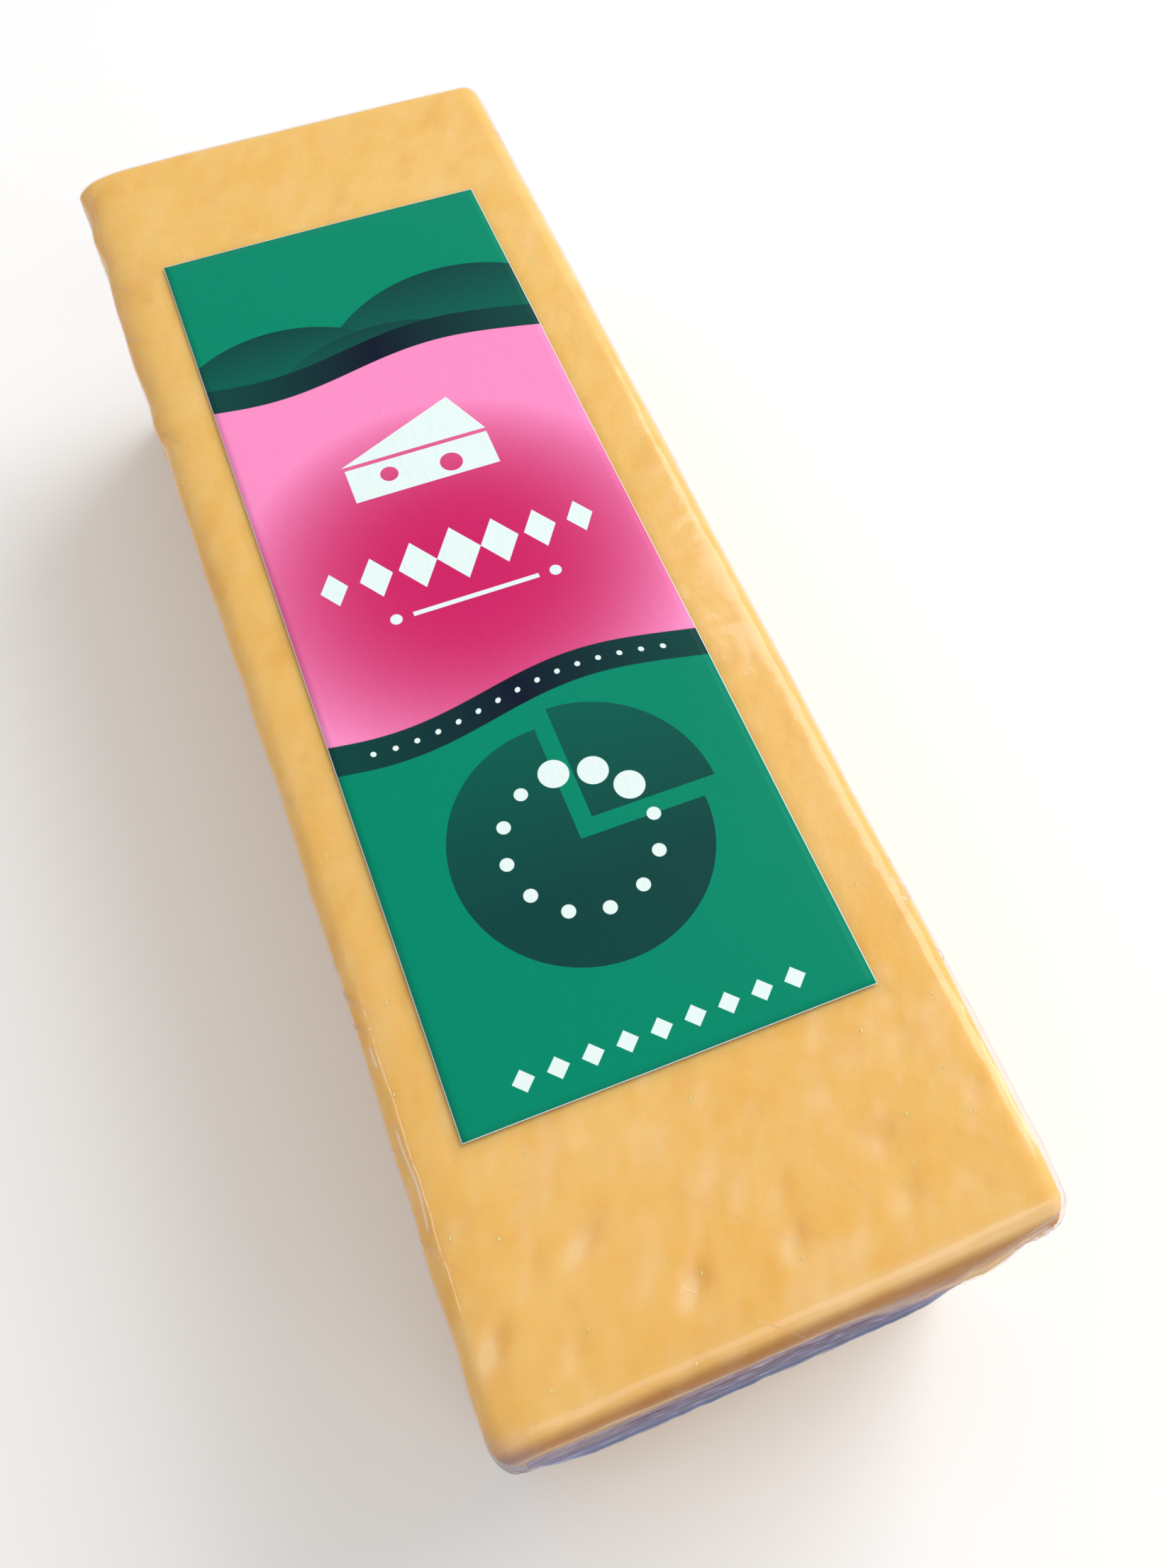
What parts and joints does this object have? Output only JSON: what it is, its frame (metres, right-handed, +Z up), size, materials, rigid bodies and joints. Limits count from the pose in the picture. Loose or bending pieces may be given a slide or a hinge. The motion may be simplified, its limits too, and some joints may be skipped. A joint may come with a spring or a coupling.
{
  "type": "cheddar block",
  "caption": "Long soft-edged block of orange cheddar shrunk tight in clear film, with gathered sealed ends and a flat printed label on its top.",
  "frame": {"origin": "middle of the footprint, at the flat underside the block rests on", "axes": "+Z up through the labelled top, +Y along the block from the plain near end to the far end, +X to the right across the width"},
  "size_m": [0.1022, 0.301, 0.0807],
  "materials": {
    "cheese_in_film": "orange cheese under tight clear glossy film",
    "printed_label": "smooth coated paper, printed green and pink"
  },
  "bodies": {
    "root": {"cheddar_pack": "cheese_in_film", "label": "printed_label"}
  },
  "joints": []
}
